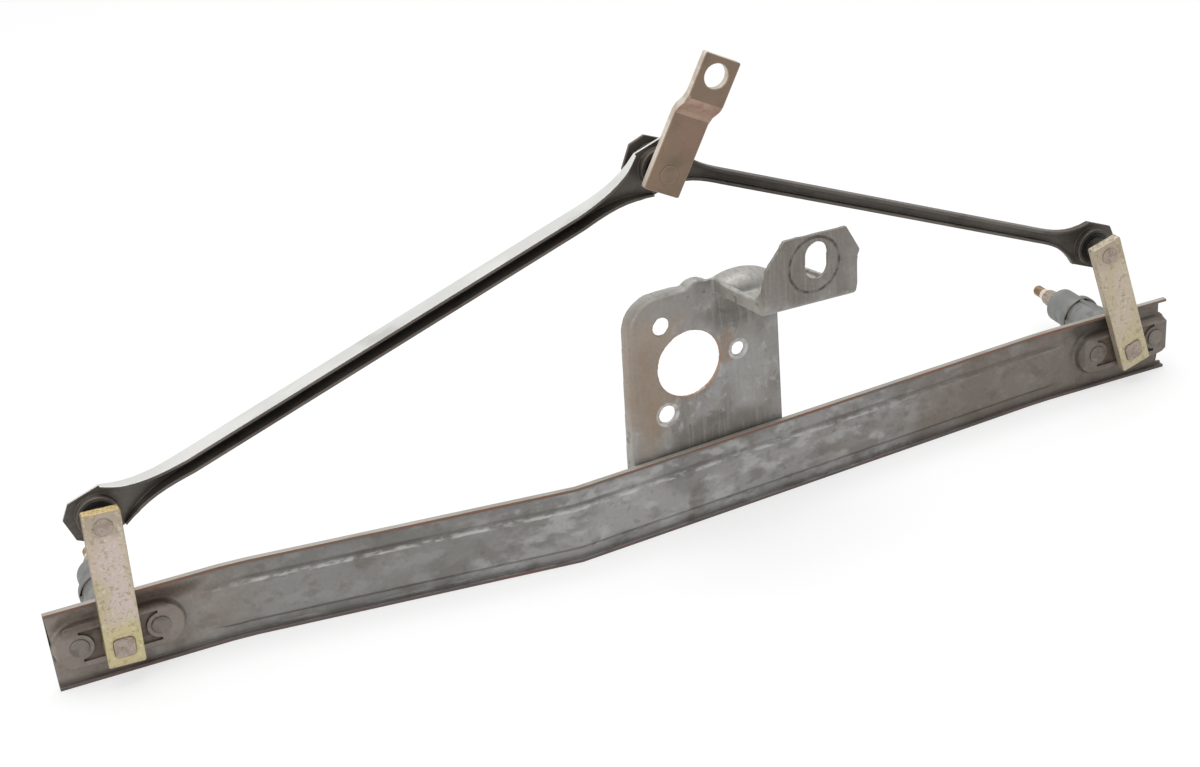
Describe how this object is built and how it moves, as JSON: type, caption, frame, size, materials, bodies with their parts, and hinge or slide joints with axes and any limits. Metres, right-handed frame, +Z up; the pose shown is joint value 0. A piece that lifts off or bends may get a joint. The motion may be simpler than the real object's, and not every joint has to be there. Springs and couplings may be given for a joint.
{
  "type": "windscreen wiper linkage",
  "caption": "Front wiper linkage: bowed pressed rail with motor bracket, two shafts in cast housings, flat levers, channel rods and a stepped motor crank.",
  "frame": {"origin": "centre of the motor pilot hole, on the bracket's front face", "axes": "+X along the rail from the left spindle to the right one, +Y along the spindles towards their threads, +Z up across the rail"},
  "size_m": [0.6, 0.134, 0.2377],
  "materials": {
    "galvanised_steel": "mottled hot-dip galvanised, weathered, with raw rusty edges",
    "rivet_steel": "dull rivet heads",
    "cast_zinc": "matt die casting",
    "bearing_bronze": "oiled sintered bronze",
    "shaft_steel": "bare steel, worn",
    "yellow_zinc": "yellow chromated zinc, pitted, iridescent",
    "pin_steel": "bare riveted steel",
    "spring_steel": "dark spring steel",
    "phosphated_steel": "dark phosphate, satin",
    "black_plastic": "matt",
    "crank_steel": "dull zinc, brownish"
  },
  "bodies": {
    "frame": {"frame_rail": "galvanised_steel", "motor_bracket": "galvanised_steel", "left_bearing_housing": "cast_zinc", "right_bearing_housing": "cast_zinc", "left_housing_rivets": "rivet_steel", "right_housing_rivets": "rivet_steel", "left_front_bush": "bearing_bronze", "left_rear_bush": "bearing_bronze", "right_front_bush": "bearing_bronze", "right_rear_bush": "bearing_bronze"},
    "left_spindle": {"left_wiper_shaft": "shaft_steel", "left_thrust_washer": "spring_steel", "left_shaft_clip": "spring_steel", "left_lever": "yellow_zinc", "left_lever_pin": "pin_steel", "left_pin_clip": "spring_steel"},
    "left_link": {"left_rod": "phosphated_steel", "left_rod_lever_bush": "black_plastic", "left_rod_crank_bush": "black_plastic"},
    "crank": {"crank_arm": "crank_steel", "crank_pin": "pin_steel", "crank_pin_clip": "spring_steel"},
    "right_spindle": {"right_wiper_shaft": "shaft_steel", "right_thrust_washer": "spring_steel", "right_shaft_clip": "spring_steel", "right_lever": "yellow_zinc", "right_lever_pin": "pin_steel", "right_pin_clip": "spring_steel"},
    "right_link": {"right_rod": "phosphated_steel", "right_rod_lever_bush": "black_plastic", "right_rod_crank_bush": "black_plastic"}
  },
  "joints": [
    {"name": "left_spindle_turn", "type": "hinge", "parent": "frame", "child": "left_spindle", "pos_m": [-0.28361, 0.01557, -0.0647], "axis": [0, 1, 0], "range_deg": [-15, 15]},
    {"name": "left_rod_pivot", "type": "hinge", "parent": "left_spindle", "child": "left_link", "pos_m": [-0.28123, 0.01257, -0.00275], "axis": [0, 1, 0], "range_deg": [-16, 16]},
    {"name": "crank_swing", "type": "hinge", "parent": "left_link", "child": "crank", "pos_m": [-0.00311, 0.01257, 0.0968], "axis": [0, 1, 0], "range_deg": [-40, 40]},
    {"name": "right_spindle_turn", "type": "hinge", "parent": "frame", "child": "right_spindle", "pos_m": [0.25939, 0.01557, -0.0647], "axis": [0, 1, 0], "range_deg": [-16, 16]},
    {"name": "right_rod_pivot", "type": "hinge", "parent": "right_spindle", "child": "right_link", "pos_m": [0.24168, 0.01557, -0.00528], "axis": [0, 1, 0], "range_deg": [-16, 16]}
  ],
  "couplings": [
    {"joint": "left_rod_pivot", "follows": "left_spindle_turn", "ratio": -1.0546},
    {"joint": "right_spindle_turn", "follows": "left_spindle_turn", "ratio": 0.98},
    {"joint": "right_rod_pivot", "follows": "left_spindle_turn", "ratio": -0.9975}
  ]
}
